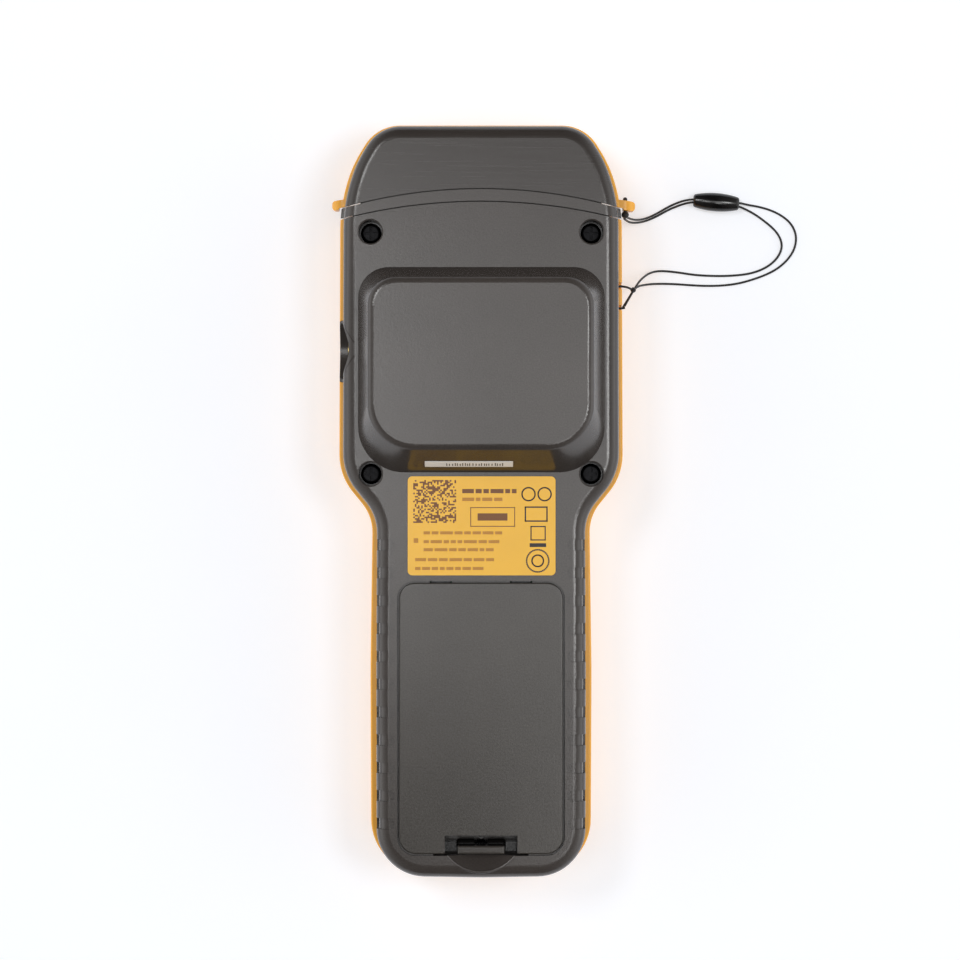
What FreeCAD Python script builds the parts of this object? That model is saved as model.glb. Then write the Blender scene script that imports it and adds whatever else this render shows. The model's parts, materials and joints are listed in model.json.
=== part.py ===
"""Hand-held moisture meter, lying on its display side.

Millimetres. +X to the right, +Y towards the measuring pins, +Z out of the meter's back.
The origin is the middle of the footprint, on the surface that the meter lies on.
"""
import FreeCAD, Part
import math
import os

# Levels
PART_Z = 17.0                # parting plane between front and back shell
BACK_Z = 34.0                # flat of the back
SENSOR_Z = 46.0              # sensing face of the raised housing
FRONT_WALL = 3.6             # thickness of the display side
WALL = 2.4                   # other walls of both shells
INNER_BACK_Z = BACK_Z - WALL

# Outlines: corners of the right half, from the cap's end to the butt, as (x, y, radius)
RIM_HALF = [(27.7, 100.0, 11.0), (34.27, 89.3, 33.0), (37.5, 78.6, 45.0), (37.75, 6.8, 15.5),
            (28.9, -4.05, 12.0), (29.45, -45.0, 400.0), (29.2, -99.2, 14.5)]
BACK_HALF = [(26.7, 98.3, 10.5), (32.46, 89.0, 32.0), (36.0, 78.3, 43.0), (36.15, 7.2, 15.5),
             (27.25, -3.8, 12.5), (27.45, -45.0, 400.0), (27.35, -98.1, 12.7)]
BUTT_CROWN = (0.0, -98.55, 150.0)
FRONT_EDGE_R = 5.0
LIP_EDGE_R = 0.6
BACK_EDGE_R = 3.4

# Curved joints as (centre y at the back, radius): body to collar, and collar to cap
BODY_JOINT = (-67.4, 145.2)
CAP_JOINT = (-51.55, 132.7)
JOINT_GAP = 0.15             # on each side of a joint
JOINT_LEAN = 0.09            # the joints lean towards the cap further down
END_WALL = 2.3
CAP_WALL = 2.2

# Raised sensor housing: (x low, x high, y low, y high), with radii at the butt side and cap side
HOUSING_BASE = (-32.1, 32.3, 7.6, 61.2)
HOUSING_TOP = (-29.0, 28.8, 13.8, 57.8)
HOUSING_BASE_RADII = (12.0, 8.0)
HOUSING_TOP_RADII = (12.0, 7.5)
HOUSING_EDGE_R = 1.9
HOUSING_WALL = 2.2

# Battery compartment and door
DOOR_HALF_X = 21.4
DOOR_Y = (-92.05, -21.25)
DOOR_GAP = 0.5
DOOR_RADII = (4.4, 4.2)
DOOR_T = 1.85
LEDGE_Z = (30.2, 32.1)
HOOK_X = (8.0, 13.0)
NOTCH_HALF_X = 9.5
NOTCH_Y = -87.2
TRAY_HALF_X = 15.6
TRAY_Y = (-84.5, -28.0)
TRAY_FLOOR_Z = 16.5
TRAY_WALL = 1.5
CELL_R = 7.05                # AA cell
CELL_LENGTH = 49.2
CELL_NUB = 1.0
CELL_X = 7.4
CELL_Z = 23.8
CELL_Y = -81.3

# Latch
LATCH_PIN_Y = -90.2
LATCH_PIN_Z = 26.5
LATCH_PIN_R = 0.6
LATCH_HALF_X = 6.1
SCOOP_Y = -85.5              # middle of the thumb scoop beyond the door
SCOOP_RIM_R = 11.2

# Grip grooves
GROOVES = 11
GROOVE_FIRST_Y = -11.4
GROOVE_PITCH = 7.28
GROOVE_R = 1.45
GROOVE_INNER_X = 24.05
GROOVE_DEPTH = 0.7
GROOVE_FOOT_Z = 28.0

# Case screws
SCREW_PLACES = [(x, y) for x in (-28.9, 28.9) for y in (7.2, 70.4)]
RECESS_R = 3.05
RECESS_FLOOR_Z = 26.0
SCREW_R = 1.25
SCREW_HEAD_R = 2.7
SCREW_HEAD_H = 2.3

# Probe port in the left side
PORT_Y = 39.8
PORT_Z = 23.6
PORT_R = 10.6
PORT_END_X = -33.0
PORT_CUP_R = 9.9
PORT_CUP_FLOOR_X = -34.6
PORT_FLANGE_X = (-33.6, -32.2)
JACK_BORE_R = 1.8

# Rating label and serial sticker
LABEL = (-19.3, 19.6, -19.45, 6.7)
LABEL_R = 1.2
LABEL_RECESS = 0.3
LABEL_T = 0.25
STICKER_X = (-14.6, 8.3)
STICKER_Z = (37.0, 39.5)
STICKER_T = 0.15

# Tether: bar in the right side's lip, lug on the cap, cord and bead
BAR_Y = (52.2, 56.4)
TETHER_POCKET = (34.2, 36.2, 50.8, 58.2)
TETHER_POCKET_Z = 13.0
LUG_T = 2.5
LUG_Y = 79.1                 # middle of a lug at LUG_ROOT_X; it slopes by LUG_TILT degrees
LUG_ROOT_X = 36.0
LUG_TILT = 8.0
LUG_R = 3.2
LUG_Z = 13.7
LUG_TIP_X = {"left": -39.8, "right": 41.2}
EYE_X = 38.5
EYE_R = 0.85
CORD_R = 0.3
BEAD_CENTRE = (63.6, 80.75, 2.55)
BEAD_LENGTH = 12.4
BEAD_R = 2.5
BEAD_TILT = -4.3

# Measuring pins and nose
PIN_X = 7.0
PIN_Z = 17.0
PIN_R = 0.8
PIN_TIP_Y = 94.0
PIN_TIP_LENGTH = 3.0
NOSE_HALF_X = 12.0
NOSE_Z = (9.0, 25.0)
NOSE_END_Y = 86.5

# Display side
PANEL = (-24.5, 24.5, -30.0, 66.0)
PANEL_R = 6.0
PANEL_Z = (0.7, 1.9)
WINDOW = (-19.5, 19.5, 30.0, 60.0)
WINDOW_R = 2.0
KEY_FACE_Z = 0.35
KEY_GAP = 0.25
KEY_FLANGE = 0.9
KEY_FLANGE_Z = (3.75, 4.6)
ROUND_KEYS = {"key_ok": (0.0, -2.0, 4.5), "key_power": (-13.5, -20.0, 4.0),
              "key_menu": (13.5, -20.0, 4.0)}
PAD_KEYS = {"key_up": (0.0, 7.6, 4.5, 2.6), "key_down": (0.0, -11.6, 4.5, 2.6),
            "key_left": (-9.6, -2.0, 2.6, 4.5), "key_right": (9.6, -2.0, 2.6, 4.5)}
PAD_KEY_R = 1.6

# Main board
BOARD = (-24.0, 24.0, -25.5, 67.5)
BOARD_Z = (6.4, 8.0)
BOARD_SCREWS = [(x, y) for x in (-21.5, 21.5) for y in (-22.0, 64.5)]
SENSOR_BOARD = (-24.0, 22.0, 19.0, 52.0)
SENSOR_BOARD_Z = (37.1, 38.5)
SENSOR_POSTS = [(x, y) for x in (-21.5, 19.5) for y in (21.5, 49.5)]
COIL_Z = (43.3, 43.75)
MAT = (-18.0, 18.0, -25.0, 13.0)
MAT_Z = (5.35, 6.35)

SIDES = (-1, 1)
FAR = 60.0                   # larger than anything that a cutting shape has to pass


def vec(x, y, z):
    return FreeCAD.Vector(x, y, z)


def box(x, y, z):
    """A box from three (low, high) pairs."""
    return Part.makeBox(x[1] - x[0], y[1] - y[0], z[1] - z[0], vec(x[0], y[0], z[0]))


def rod(start, end, radius):
    """A cylinder from one point to another."""
    axis = vec(*end) - vec(*start)
    return Part.makeCylinder(radius, axis.Length, vec(*start), axis)


def rectangle(limits, radii):
    """Corners of an upright rectangle; radii are (low y side, high y side)."""
    x_low, x_high, y_low, y_high = limits
    return [(x_low, y_low, radii[0]), (x_high, y_low, radii[0]),
            (x_high, y_high, radii[1]), (x_low, y_high, radii[1])]


def grown(limits, amount):
    x_low, x_high, y_low, y_high = limits
    return (x_low - amount, x_high + amount, y_low - amount, y_high + amount)


def mirrored(half, middle=None):
    """A whole outline from its right half."""
    between = [middle] if middle else []
    return half + between + [(-x, y, r) for x, y, r in reversed(half)]


def corner_arc(before, corner, after, radius):
    """Start, middle and end of the arc that rounds a corner."""
    back = (before - corner).normalize()
    on = (after - corner).normalize()
    half_angle = back.getAngle(on) / 2
    run = radius / math.tan(half_angle)
    inward = (back + on).normalize()
    middle = corner + inward * (radius / math.sin(half_angle) - radius)
    return corner + back * run, middle, corner + on * run


def rounded_wire(corners, z=0.0):
    """A closed outline with every corner rounded by its own radius."""
    points = [vec(x, y, z) for x, y, _ in corners]
    count = len(points)
    arcs = [corner_arc(points[i - 1], points[i], points[(i + 1) % count], corners[i][2])
            for i in range(count)]
    edges = []
    for i in range(count):
        start, middle, end = arcs[i]
        edges.append(Part.Arc(start, middle, end).toShape())
        following = arcs[(i + 1) % count][0]
        if (following - end).Length > 1e-6:
            edges.append(Part.LineSegment(end, following).toShape())
    return Part.Wire(edges)


def slab(corners, z, inset=0.0):
    """An outline, drawn in by inset, as a plate between two levels."""
    wire = rounded_wire(corners)
    if inset:
        wire = wire.makeOffset2D(-inset)
    plate = Part.Face(wire).extrude(vec(0, 0, z[1] - z[0]))
    plate.translate(vec(0, 0, z[0]))
    return plate


def flat_edges(shape, z, inside=None):
    """Edges that lie in the plane z, within inside if it is given."""
    found = []
    for edge in shape.Edges:
        bounds = edge.BoundBox
        level = abs(bounds.ZMin - z) < 1e-6 and abs(bounds.ZMax - z) < 1e-6
        if level and (inside is None or inside.isInside(bounds.Center)):
            found.append(edge)
    return found


def joint_disc(joint, grow):
    """Everything on the butt side of a curved joint, grown towards the cap."""
    centre_y, radius = joint
    foot = vec(0, centre_y + JOINT_LEAN * (BACK_Z + FAR), -FAR)
    return Part.makeCylinder(radius + grow, 3 * FAR, foot, vec(0, -JOINT_LEAN, 1))


# Envelopes -----------------------------------------------------------------

RIM = mirrored(RIM_HALF)
BACK = mirrored(BACK_HALF, BUTT_CROWN)


def lower_envelope():
    """The yellow half of the case, solid."""
    solid = slab(RIM, (0.0, PART_Z))
    solid = solid.makeFillet(FRONT_EDGE_R, flat_edges(solid, 0.0))
    return solid.makeFillet(LIP_EDGE_R, flat_edges(solid, PART_Z))


def upper_envelope(inset=0.0):
    """The grey half of the case, solid, without the sensor housing."""
    top = BACK_Z - inset
    solid = slab(BACK, (PART_Z, top), inset)
    return solid.makeFillet(BACK_EDGE_R - inset, flat_edges(solid, top))


def housing(inset, z_low, z_high):
    """The sensor housing, drawn in by inset, between two levels."""
    base = rectangle(grown(HOUSING_BASE, -inset), [r - inset for r in HOUSING_BASE_RADII])
    top = rectangle(grown(HOUSING_TOP, -inset), [r - inset for r in HOUSING_TOP_RADII])
    return Part.makeLoft([rounded_wire(base, z_low), rounded_wire(top, z_high)], True, True)


LOWER = lower_envelope()
UPPER = upper_envelope()
BODY_DISC = joint_disc(BODY_JOINT, -JOINT_GAP)
BODY_CAVITY = joint_disc(BODY_JOINT, -JOINT_GAP - END_WALL)
CAP_DISC = joint_disc(CAP_JOINT, JOINT_GAP)


def port_cut():
    return rod((-FAR, PORT_Y, PORT_Z), (PORT_END_X, PORT_Y, PORT_Z), PORT_R)


def joint_tongue(fit):
    """The plate on the collar that enters the body's end wall; fit widens it for the recess."""
    plate = slab(BACK, (5.0 - fit, 30.0 + fit), 2.2 - fit)
    reach = joint_disc(BODY_JOINT, -JOINT_GAP - 1.2 - fit)
    return plate.common(joint_disc(BODY_JOINT, JOINT_GAP + 0.1)).cut(reach)


def nose_opening():
    clearance = 0.1
    return box((-NOSE_HALF_X - clearance, NOSE_HALF_X + clearance), (60.0, 100.0),
               (NOSE_Z[0] - clearance, NOSE_Z[1] + clearance))


# Front shell ----------------------------------------------------------------

def key_outline(name, grow):
    """Corners of a key's outline, grown by a gap or a flange."""
    if name in ROUND_KEYS:
        x, y, r = ROUND_KEYS[name]
        r += grow
        return rectangle((x - r, x + r, y - r, y + r), (r - 0.01, r - 0.01))
    x, y, half_x, half_y = PAD_KEYS[name]
    limits = grown((x - half_x, x + half_x, y - half_y, y + half_y), grow)
    return rectangle(limits, (PAD_KEY_R + grow, PAD_KEY_R + grow))


def key_openings(grow, z):
    names = list(ROUND_KEYS) + list(PAD_KEYS)
    return [slab(key_outline(name, grow), z) for name in names]


def front_shell():
    shell = LOWER.common(BODY_DISC)
    cavity = slab(RIM, (FRONT_WALL, PART_Z + 1.0), WALL)
    shell = shell.cut(cavity.common(BODY_CAVITY))
    boss_r = 4.0
    for x, y in SCREW_PLACES:
        shell = shell.fuse(rod((x, y, FRONT_WALL - 1.0), (x, y, PART_Z), boss_r))
    stand_r = 2.6
    for x, y in BOARD_SCREWS:
        shell = shell.fuse(rod((x, y, FRONT_WALL - 1.0), (x, y, BOARD_Z[0]), stand_r))
    pocket = TETHER_POCKET
    block = box((pocket[0] - WALL, pocket[1]), (pocket[2] - WALL, pocket[3] + WALL),
                (FRONT_WALL + FRONT_EDGE_R, PART_Z))
    shell = shell.fuse(block.common(LOWER))
    cuts = [nose_opening(), port_cut(), joint_tongue(0.15)]
    cuts += [rod((x, y, FRONT_WALL), (x, y, PART_Z + 1.0), SCREW_R) for x, y in SCREW_PLACES]
    cuts += [rod((x, y, FRONT_WALL - 1.0), (x, y, PART_Z), 0.9) for x, y in BOARD_SCREWS]
    cuts.append(box(pocket[:2], pocket[2:], (TETHER_POCKET_Z, PART_Z + 1.0)))
    for notch in ((pocket[2], BAR_Y[0]), (BAR_Y[1], pocket[3])):
        cuts.append(box((pocket[0], FAR), notch, (TETHER_POCKET_Z, PART_Z + 1.0)))
    panel_gap = 0.15
    cuts.append(slab(rectangle(grown(PANEL, panel_gap), (PANEL_R, PANEL_R)),
                     (-1.0, PANEL_Z[1] + 0.05)))
    cuts.append(slab(rectangle(grown(WINDOW, -1.0), (1.0, 1.0)), (0.0, FRONT_WALL + 1.0)))
    cuts += key_openings(KEY_GAP, (0.0, FRONT_WALL + 1.0))
    return shell.cut(cuts).removeSplitter()


# Back shell -----------------------------------------------------------------

def grooves():
    """Grip grooves of one depth that follow the rounded edge down the side."""
    core = upper_envelope(GROOVE_DEPTH)
    tools = []
    for side in SIDES:
        for k in range(GROOVES):
            y = GROOVE_FIRST_Y - k * GROOVE_PITCH
            x = side * GROOVE_INNER_X
            z = (GROOVE_FOOT_Z, BACK_Z + 1)
            run = box(sorted((x, side * FAR)), (y - GROOVE_R, y + GROOVE_R), z)
            tools.append(run.fuse(rod((x, y, z[0]), (x, y, z[1]), GROOVE_R)))
    return [tool.cut(core) for tool in tools]


def beyond_door(shape):
    """The part of a shape between the door's opening and the butt."""
    return shape.common(box((-FAR, FAR), (-98.0, DOOR_Y[0] - DOOR_GAP + 0.05), (0, FAR)))


def thumb_scoop():
    """The bowl at the butt end of the door, for the thumb that works the latch."""
    ball_r, rim_z = 14.3, 33.8
    rise = math.sqrt(ball_r ** 2 - SCOOP_RIM_R ** 2)
    return beyond_door(Part.makeSphere(ball_r, vec(0, SCOOP_Y, rim_z + rise)))


def scoop_bead():
    """The raised line round the thumb scoop."""
    return beyond_door(Part.makeTorus(SCOOP_RIM_R + 0.1, 0.4, vec(0, SCOOP_Y, 33.65)))


def door_outline(grow):
    limits = grown((-DOOR_HALF_X, DOOR_HALF_X) + DOOR_Y, grow)
    return rectangle(limits, [r + grow for r in DOOR_RADII])


def back_shell():
    shell = UPPER.fuse(housing(0.0, BACK_Z, SENSOR_Z))
    shell = shell.makeFillet(HOUSING_EDGE_R, flat_edges(shell, SENSOR_Z))
    shell = shell.common(BODY_DISC)
    cavity = slab(BACK, (PART_Z - 1.0, INNER_BACK_Z), WALL)
    shell = shell.cut(cavity.common(BODY_CAVITY))
    shell = shell.cut(housing(HOUSING_WALL, INNER_BACK_Z - 0.5, SENSOR_Z - HOUSING_WALL))
    inside = slab(BACK, (PART_Z, BACK_Z - 1.0), WALL - 0.5)
    ledge = box((-FAR, FAR), (-96.0, -19.0), (LEDGE_Z[0], BACK_Z - 1.0)).common(inside)
    tray = box((-TRAY_HALF_X - TRAY_WALL, TRAY_HALF_X + TRAY_WALL),
               (TRAY_Y[0] - TRAY_WALL, TRAY_Y[1] + TRAY_WALL),
               (TRAY_FLOOR_Z - TRAY_WALL, LEDGE_Z[0] + 0.5))
    lip = box((-12.0, 12.0), (-96.5, DOOR_Y[0] - DOOR_GAP - 0.05), (29.5, LEDGE_Z[0] + 0.5))
    boss_r = 4.3
    bosses = [rod((x, y, PART_Z), (x, y, INNER_BACK_Z + 0.5), boss_r).common(inside)
              for x, y in SCREW_PLACES]
    posts = [rod((x, y, SENSOR_BOARD_Z[1]), (x, y, SENSOR_Z - 1.5), 1.8)
             for x, y in SENSOR_POSTS]
    pocket_floor = box((-13.5, 13.5), (-96.0, TRAY_Y[0] - TRAY_WALL + 0.5), (21.8, 23.2))
    shell = shell.fuse([ledge, tray, lip, pocket_floor] + bosses + posts)
    cuts = [nose_opening(), port_cut(), joint_tongue(0.15), thumb_scoop()]
    cuts.append(box((-TRAY_HALF_X, TRAY_HALF_X), TRAY_Y, (TRAY_FLOOR_Z, FAR)))
    cuts.append(slab(door_outline(DOOR_GAP), (LEDGE_Z[1], FAR)))
    cuts.append(box((-20.4, 20.4), (-82.0, -30.0), (LEDGE_Z[0] - 0.5, FAR)))
    cuts.append(box((-12.5, 12.5), (DOOR_Y[0] - DOOR_GAP, TRAY_Y[0] - TRAY_WALL),
                    (LEDGE_Z[0] - 1.0, FAR)))
    for side in SIDES:
        cuts.append(box(sorted((side * (HOOK_X[0] - 0.4), side * (HOOK_X[1] + 0.4))),
                        (TRAY_Y[1] + TRAY_WALL, DOOR_Y[1] + DOOR_GAP), (LEDGE_Z[0] - 1, FAR)))
    cuts += [rod((x, y, 0), (x, y, SENSOR_BOARD_Z[1] + 3.6), 0.8) for x, y in SENSOR_POSTS]
    for x, y in SCREW_PLACES:
        cuts.append(rod((x, y, RECESS_FLOOR_Z), (x, y, FAR), RECESS_R))
        cuts.append(rod((x, y, PART_Z - 1.0), (x, y, FAR), SCREW_R + 0.2))
        cuts.append(Part.makeCone(RECESS_R, RECESS_R + 0.6, 0.6, vec(x, y, BACK_Z - 0.35)))
    cuts.append(slab(rectangle(LABEL, (LABEL_R, LABEL_R)), (BACK_Z - LABEL_RECESS, BACK_Z + 1)))
    return shell.cut(cuts + grooves()).fuse(scoop_bead()).removeSplitter()


def rating_label():
    low = BACK_Z - LABEL_RECESS
    return slab(rectangle(grown(LABEL, -0.15), (LABEL_R, LABEL_R)), (low, low + LABEL_T))


def serial_sticker():
    """A strip on the housing's sloping butt-side wall."""
    rise = SENSOR_Z - BACK_Z
    run = HOUSING_TOP[2] - HOUSING_BASE[2]
    slope = math.hypot(rise, run)
    height = (STICKER_Z[1] - STICKER_Z[0]) * slope / rise
    strip = box(STICKER_X, (-STICKER_T, 0.0), (0.0, height))
    strip.rotate(vec(0, 0, 0), vec(1, 0, 0), -math.degrees(math.atan2(run, rise)))
    along = (STICKER_Z[0] - BACK_Z) / rise
    strip.translate(vec(0, HOUSING_BASE[2] + along * run, STICKER_Z[0]))
    return strip


def case_screws():
    """Four pan-head screws with cross recesses."""
    screws = []
    for x, y in SCREW_PLACES:
        head = rod((x, y, RECESS_FLOOR_Z), (x, y, RECESS_FLOOR_Z + SCREW_HEAD_H), SCREW_HEAD_R)
        head = head.makeFillet(0.9, flat_edges(head, RECESS_FLOOR_Z + SCREW_HEAD_H))
        shank = rod((x, y, FRONT_WALL + 2.0), (x, y, RECESS_FLOOR_Z + 0.2), SCREW_R)
        slot = (RECESS_FLOOR_Z + 0.9, BACK_Z)
        arm, half_width = 1.7, 0.4
        cross = [box((x - arm, x + arm), (y - half_width, y + half_width), slot),
                 box((x - half_width, x + half_width), (y - arm, y + arm), slot)]
        screws.append(head.fuse(shank).cut(cross))
    return Part.makeCompound(screws)


# Collar, nose and cap --------------------------------------------------------

def collar():
    """The grey band between body and cap, with a spigot that the cap slides over."""
    ring = joint_disc(CAP_JOINT, -JOINT_GAP).cut(joint_disc(BODY_JOINT, JOINT_GAP))
    band = LOWER.fuse(UPPER).removeSplitter().common(ring)
    reach = joint_disc(CAP_JOINT, 3.0).cut(joint_disc(BODY_JOINT, 1.2))
    spigot_gap, spigot_wall = 0.35, 1.5
    outer = slab(BACK, (4.2, BACK_Z - CAP_WALL - spigot_gap), CAP_WALL + 1.3 + spigot_gap)
    inner = slab(BACK, (4.2 + spigot_wall, BACK_Z - CAP_WALL - spigot_gap - spigot_wall),
                 CAP_WALL + 1.3 + spigot_gap + spigot_wall)
    spigot = outer.cut(inner).common(reach)
    return band.fuse([spigot, joint_tongue(0.0)]).cut(nose_opening()).removeSplitter()


def nose_block():
    """The insulator that carries the two pins."""
    block = box((-NOSE_HALF_X, NOSE_HALF_X), (70.0, NOSE_END_Y), NOSE_Z)
    block = block.makeFillet(2.0, [e for e in block.Edges if e.BoundBox.YLength > 1])
    flange = box((-16.0, 16.0), (70.0, 74.6), (NOSE_Z[0] - 4.0, NOSE_Z[1] + 4.0))
    bores = [rod((side * PIN_X, 60.0, PIN_Z), (side * PIN_X, 100.0, PIN_Z), PIN_R)
             for side in SIDES]
    seats = [rod((side * PIN_X, NOSE_END_Y - 3.0, PIN_Z), (side * PIN_X, 100.0, PIN_Z), 2.6)
             for side in SIDES]
    return block.fuse(flange).cut(bores + seats)


def measuring_pin(side):
    x = side * PIN_X
    shoulder = PIN_TIP_Y - PIN_TIP_LENGTH
    shaft = rod((x, 66.0, PIN_Z), (x, shoulder, PIN_Z), PIN_R)
    tip = Part.makeCone(PIN_R, 0.1, PIN_TIP_LENGTH, vec(x, shoulder, PIN_Z), vec(0, 1, 0))
    return shaft.fuse(tip).removeSplitter()


def pin_collets():
    """Knurled brass nuts that clamp the pins."""
    nuts = []
    for side in SIDES:
        x = side * PIN_X
        nut = rod((x, NOSE_END_Y - 3.0, PIN_Z), (x, NOSE_END_Y + 2.0, PIN_Z), 2.6)
        nuts.append(nut.cut(rod((x, 60, PIN_Z), (x, 100, PIN_Z), PIN_R)))
    return Part.makeCompound(nuts)


def lug_y(x):
    """Middle of a lug, at a distance from the middle of the meter."""
    return LUG_Y - (x - LUG_ROOT_X) * math.tan(math.radians(LUG_TILT))


def lug(side):
    """A rounded tab at the foot of the cap's front half."""
    tip = LUG_TIP_X["right" if side > 0 else "left"]
    centre = tip - side * LUG_R
    z = (LUG_Z - LUG_R, LUG_Z + LUG_R)
    limits = sorted((side * 30.0, tip)) + [LUG_Y - LUG_T / 2, LUG_Y + LUG_T / 2]
    plan = slab(rectangle(limits, (1.0, 1.0)), z)
    plan.rotate(vec(side * LUG_ROOT_X, LUG_Y, 0), vec(0, 0, 1), -side * LUG_TILT)
    profile = box(sorted((side * 25.0, centre)), (60.0, 100.0), z)
    profile = profile.fuse(rod((centre, 60.0, LUG_Z), (centre, 100.0, LUG_Z), LUG_R))
    inside = box((-37.9, 37.9), (60.0, 100.0), (0.0, BACK_Z))
    return plan.common(profile).cut(CAP_DISC.common(inside))


def cap_cavity():
    """The hollow of the cap, one space for both its halves."""
    return slab(BACK, (CAP_WALL + 1.4, BACK_Z - CAP_WALL), CAP_WALL + 1.3)


def cap_front():
    half = LOWER.cut(CAP_DISC)
    half = half.fuse([lug(-1), lug(1)])
    eye = rod((EYE_X, 60.0, LUG_Z), (EYE_X, 100.0, LUG_Z), EYE_R)
    return half.cut([cap_cavity(), eye]).removeSplitter()


def cap_back():
    return UPPER.cut([CAP_DISC, cap_cavity()]).removeSplitter()


# Battery door and latch ------------------------------------------------------

def battery_door():
    z_low = BACK_Z - DOOR_T
    plate = slab(door_outline(0.0), (z_low, BACK_Z))
    plate = plate.makeFillet(0.35, flat_edges(plate, BACK_Z))
    plate = plate.cut(box((-NOTCH_HALF_X, NOTCH_HALF_X), (-FAR * 2, NOTCH_Y), (0, FAR)))
    adds = [box((-0.6, 0.6), (-80.0, -32.0), (29.3, z_low + 0.2))]
    for side in SIDES:
        hook_x = sorted((side * HOOK_X[0], side * HOOK_X[1]))
        adds.append(box(hook_x, (-23.8, -22.6), (29.0, z_low + 0.2)))
        adds.append(box(hook_x, (-23.8, -19.8), (29.0, 30.05)))
        ear_y = (-91.6, -89.2)
        ear_x = sorted((side * (LATCH_HALF_X + 0.4), side * (NOTCH_HALF_X + 0.8)))
        adds.append(box(ear_x, ear_y, (LATCH_PIN_Z - 1.6, 30.4)))
        root_x = sorted((side * NOTCH_HALF_X, side * (NOTCH_HALF_X + 0.8)))
        adds.append(box(root_x, ear_y, (30.0, z_low + 0.2)))
    adds.append(box((-0.6, 0.6), (-87.1, -86.4), (28.6, z_low + 0.2)))
    adds.append(box((-0.6, 0.6), (-88.3, -86.4), (28.6, 29.8)))
    adds.append(rod((0, -87.8, 29.0), (0, -87.8, 31.2), 0.5))
    door = plate.fuse(adds)
    pin = rod((-9.9, LATCH_PIN_Y, LATCH_PIN_Z), (9.9, LATCH_PIN_Y, LATCH_PIN_Z), LATCH_PIN_R)
    return door.cut(pin).removeSplitter()


def latch_pin():
    return rod((-9.9, LATCH_PIN_Y, LATCH_PIN_Z), (9.9, LATCH_PIN_Y, LATCH_PIN_Z), LATCH_PIN_R)


def battery_latch():
    """Thumb bar, web, pivot barrel and the nose that catches under the case."""
    x = (-LATCH_HALF_X, LATCH_HALF_X)
    bar = box(x, (-92.1, -90.0), (31.9, BACK_Z - 0.05))
    bar = bar.makeFillet(0.5, flat_edges(bar, BACK_Z - 0.05))
    web = box(x, (-91.2, -90.0), (LATCH_PIN_Z, 32.0))
    barrel = rod((x[0], LATCH_PIN_Y, LATCH_PIN_Z), (x[1], LATCH_PIN_Y, LATCH_PIN_Z), 1.4)
    nose = box((-5.0, 5.0), (-93.1, -91.0), (27.8, 29.0))
    latch = bar.fuse([web, barrel, nose])
    bore = rod((-FAR, LATCH_PIN_Y, LATCH_PIN_Z), (FAR, LATCH_PIN_Y, LATCH_PIN_Z),
               LATCH_PIN_R + 0.06)
    window = box((-1.7, 1.7), (-94.0, -88.0), (LATCH_PIN_Z - 2.0, LATCH_PIN_Z + 1.8))
    return latch.cut([bore, window]).removeSplitter()


def latch_spring():
    """The coil of the torsion spring round the latch pin."""
    wire_r, coils = 0.22, 5
    pitch = 2 * wire_r + 0.06
    rings = []
    for k in range(coils):
        x = (k - (coils - 1) / 2) * pitch
        rings.append(Part.makeTorus(1.1, wire_r, vec(x, LATCH_PIN_Y, LATCH_PIN_Z), vec(1, 0, 0)))
    return Part.makeCompound(rings)


def door_foam():
    return box((-9.0, -2.0), (-66.0, -46.0), (31.0, BACK_Z - DOOR_T))


# Battery compartment ---------------------------------------------------------

def battery_cell(side):
    """An AA cell; the two point opposite ways."""
    x = side * CELL_X
    can = rod((x, CELL_Y, CELL_Z), (x, CELL_Y + CELL_LENGTH, CELL_Z), CELL_R)
    can = can.makeFillet(0.6, [e for e in can.Edges if e.BoundBox.YLength < 1e-6])
    nub_y = (CELL_Y + CELL_LENGTH, CELL_Y + CELL_LENGTH + CELL_NUB)
    if side > 0:
        nub_y = (CELL_Y - CELL_NUB, CELL_Y)
    return can.fuse(rod((x, nub_y[0], CELL_Z), (x, nub_y[1], CELL_Z), 2.75))


def contact_springs():
    """Coil contacts at the flat end of each cell."""
    wire_r, turns = 0.3, 3
    ends = {-1: (TRAY_Y[0] + 0.7, CELL_Y), 1: (CELL_Y + CELL_LENGTH, TRAY_Y[1] - 0.7)}
    rings = []
    for side in SIDES:
        low, high = ends[side]
        for k in range(turns):
            y = low + (high - low) * (k + 0.5) / turns
            size = 3.4 - 0.5 * (k if side < 0 else turns - 1 - k)
            rings.append(Part.makeTorus(size, wire_r, vec(side * CELL_X, y, CELL_Z), vec(0, 1, 0)))
    return Part.makeCompound(rings)


def contact_plates():
    """Sheet contacts at both ends of the tray."""
    thickness = 0.5
    z = (CELL_Z - 5.0, CELL_Z + 5.0)
    low_y = (TRAY_Y[0] + 0.1, TRAY_Y[0] + 0.1 + thickness)
    high_y = (TRAY_Y[1] - 0.1 - thickness, TRAY_Y[1] - 0.1)
    plates = [box((-14.0, 14.0), low_y, z)]
    for side in SIDES:
        plates.append(box(sorted((side * 1.5, side * 14.0)), high_y, z))
    return Part.makeCompound(plates)


# Display side ----------------------------------------------------------------

def front_panel():
    panel = slab(rectangle(PANEL, (PANEL_R, PANEL_R)), PANEL_Z)
    opening = slab(rectangle(grown(WINDOW, 0.1), (WINDOW_R, WINDOW_R)), (0.0, 3.0))
    return panel.cut([opening] + key_openings(KEY_GAP, (0.0, 3.0)))


def display_window():
    return slab(rectangle(WINDOW, (WINDOW_R, WINDOW_R)), PANEL_Z)


def lcd_module():
    return box((-20.5, 20.5), (28.5, 61.0), (3.8, 5.8))


def lcd_frame():
    outer = box((-22.5, 22.5), (26.5, 61.8), (3.7, 6.3))
    return outer.cut([box((-20.6, 20.6), (28.4, 61.1), (3.0, 5.9)),
                      box((-18.5, 18.5), (31.0, 59.0), (3.0, 7.0))])


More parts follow.
